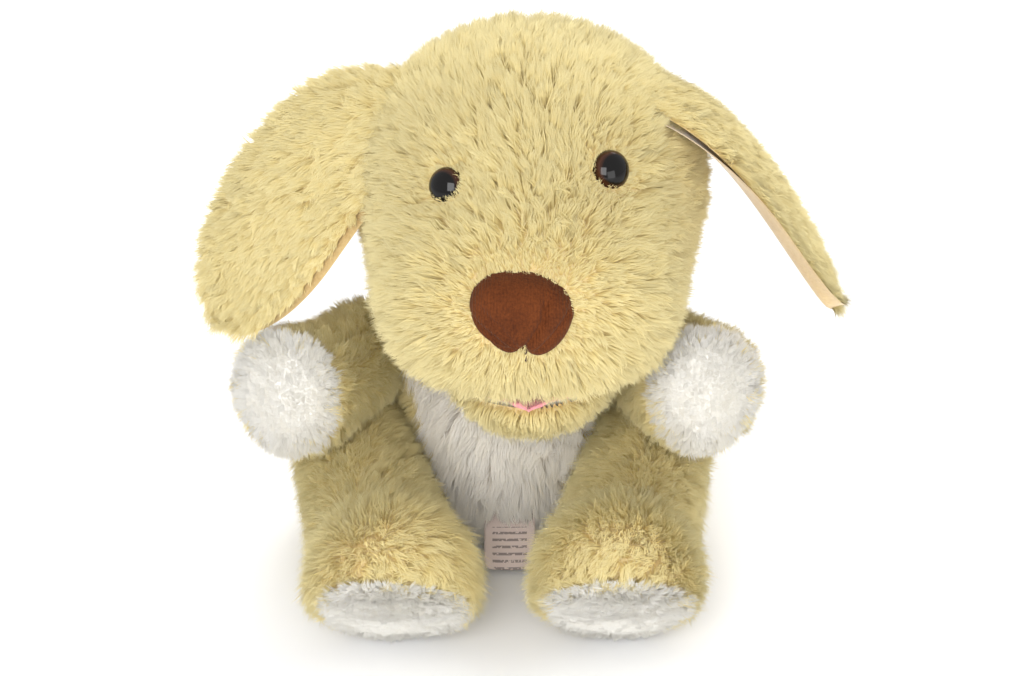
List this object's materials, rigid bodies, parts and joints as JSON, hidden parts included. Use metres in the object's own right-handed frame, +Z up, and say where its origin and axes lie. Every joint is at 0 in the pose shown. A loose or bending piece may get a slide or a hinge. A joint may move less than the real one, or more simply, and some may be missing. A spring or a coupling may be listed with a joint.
{
  "type": "hand puppet",
  "caption": "Sitting puppy hand puppet with a hand sleeve at the back, a mouth worked from inside, floppy ears and soft limbs.",
  "frame": {"origin": "on the flat underside of the seat, on the body's middle line, 10 mm in front of the middle of the belly", "axes": "+Z up out of the seat, -Y the way the puppet faces, +X to the viewer's right when it is seen from the front"},
  "size_m": [0.2494, 0.2358, 0.227],
  "materials": {
    "cream_fur": "long soft pile",
    "white_fur": "long soft pile",
    "white_velour": "short smooth pile",
    "tan_velour": "short smooth pile",
    "brown_velour": "short pile with a fine rib",
    "brown_thread": "sewing thread",
    "pink_felt": "felt",
    "glove_cloth": "plain weave",
    "hem_tape": "twill tape",
    "fibre_filling": "loose polyester fibre",
    "mouth_board": "pressed board",
    "eye_plastic": "polished",
    "washer_plastic": "moulded",
    "label_satin": "satin"
  },
  "bodies": {
    "body": {"body_fur": "cream_fur", "belly_panel": "white_fur", "seat_panel": "cream_fur", "body_stuffing": "fibre_filling", "glove_lining": "glove_cloth", "hem_band": "hem_tape"},
    "tail": {"tail_fur": "cream_fur", "tail_stuffing": "fibre_filling"},
    "label": {"care_label": "label_satin"},
    "neck": {"neck_gusset": "cream_fur"},
    "nape": {"neck_lining": "glove_cloth"},
    "head": {"forehead_left": "cream_fur", "forehead_right": "cream_fur", "cheek_left": "cream_fur", "cheek_right": "cream_fur", "head_back": "cream_fur", "muzzle": "cream_fur", "head_stuffing": "fibre_filling", "finger_pocket": "glove_cloth", "upper_mouth_board": "mouth_board", "upper_mouth_lining": "pink_felt", "nose": "brown_velour", "nose_stitch": "brown_thread", "eye_left": "eye_plastic", "eye_right": "eye_plastic", "eye_washer_left": "washer_plastic", "eye_washer_right": "washer_plastic"},
    "jaw": {"jaw_fur": "cream_fur", "jaw_stuffing": "fibre_filling", "thumb_pocket": "glove_cloth", "lower_mouth_board": "mouth_board", "lower_mouth_lining": "pink_felt", "tongue": "pink_felt"},
    "ear_left": {"ear_left_fur": "cream_fur", "ear_left_lining": "tan_velour"},
    "ear_right": {"ear_right_fur": "cream_fur", "ear_right_lining": "tan_velour"},
    "arm_left": {"arm_left_fur": "cream_fur", "arm_left_stuffing": "fibre_filling", "arm_left_pad": "white_velour"},
    "arm_right": {"arm_right_fur": "cream_fur", "arm_right_stuffing": "fibre_filling", "arm_right_pad": "white_velour"},
    "leg_left": {"leg_left_fur": "cream_fur", "leg_left_stuffing": "fibre_filling", "leg_left_sole": "white_velour"},
    "leg_right": {"leg_right_fur": "cream_fur", "leg_right_stuffing": "fibre_filling", "leg_right_sole": "white_velour"}
  },
  "joints": [
    {"name": "neck_turn", "type": "hinge", "parent": "body", "child": "neck", "pos_m": [0.006, 0.028, 0.096], "axis": [0, 0, 1], "range_deg": [-10, 4]},
    {"name": "neck_tilt", "type": "hinge", "parent": "neck", "child": "nape", "pos_m": [0.006, 0.028, 0.096], "axis": [0, 1, 0], "range_deg": [-2, 2]},
    {"name": "head_nod", "type": "hinge", "parent": "nape", "child": "head", "pos_m": [0.006, 0.028, 0.096], "axis": [1, 0, 0], "range_deg": [-10, 2]},
    {"name": "mouth_open", "type": "hinge", "parent": "head", "child": "jaw", "pos_m": [0.015, -0.005, 0.101], "axis": [1, 0, 0], "range_deg": [0, 20]},
    {"name": "ear_left_flap", "type": "hinge", "parent": "head", "child": "ear_left", "pos_m": [-0.047, 0, 0.199], "axis": [0, 1, 0], "range_deg": [0, 50]},
    {"name": "ear_right_flap", "type": "hinge", "parent": "head", "child": "ear_right", "pos_m": [0.073, 0, 0.2], "axis": [0, -1, 0], "range_deg": [0, 50]},
    {"name": "arm_left_swing", "type": "hinge", "parent": "body", "child": "arm_left", "pos_m": [-0.062, 0.026, 0.07], "axis": [0.342, 0, -0.9397], "range_deg": [0, 45]},
    {"name": "arm_right_swing", "type": "hinge", "parent": "body", "child": "arm_right", "pos_m": [0.062, 0.026, 0.07], "axis": [0.342, 0, 0.9397], "range_deg": [0, 45]},
    {"name": "leg_left_spread", "type": "hinge", "parent": "body", "child": "leg_left", "pos_m": [-0.066, -0.002, 0.032], "axis": [0, 0, -1], "range_deg": [-4, 35]},
    {"name": "leg_right_spread", "type": "hinge", "parent": "body", "child": "leg_right", "pos_m": [0.063, -0.002, 0.032], "axis": [0, 0, 1], "range_deg": [-3, 35]},
    {"name": "tail_wag", "type": "hinge", "parent": "body", "child": "tail", "pos_m": [0, 0.063, 0.066], "axis": [0, -0.6, 0.8], "range_deg": [-25, 25]},
    {"name": "label_flap", "type": "hinge", "parent": "body", "child": "label", "pos_m": [0.003, -0.0307, 0.022], "axis": [-1, 0, 0], "range_deg": [0, 70]}
  ]
}
